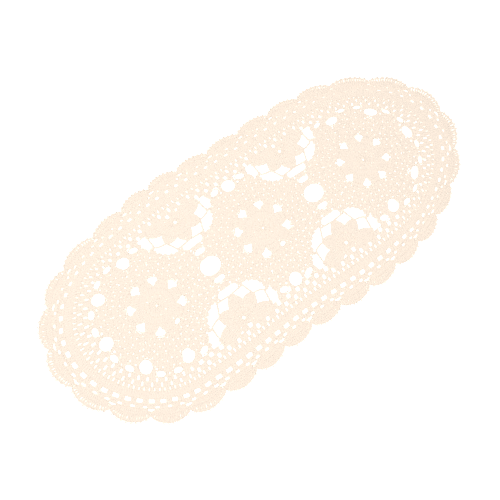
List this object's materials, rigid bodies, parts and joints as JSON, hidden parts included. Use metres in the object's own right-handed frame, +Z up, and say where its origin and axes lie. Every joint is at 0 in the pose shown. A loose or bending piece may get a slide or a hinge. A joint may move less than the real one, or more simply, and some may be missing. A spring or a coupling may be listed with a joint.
{
  "type": "lace doily",
  "caption": "Flat oval crocheted lace doily: round motifs in a row, half motifs between them, net and eyelet rounds, and a scalloped fan edge.",
  "frame": {"origin": "middle of the doily's outline, on the surface that it lies on", "axes": "+X along the doily's long side, +Y across it, +Z up out of its face"},
  "size_m": [0.463, 0.2138, 0.0015],
  "materials": {
    "cotton": "matt mercerised crochet cotton, cream"
  },
  "bodies": {
    "root": {"doily": "cotton"}
  },
  "joints": []
}
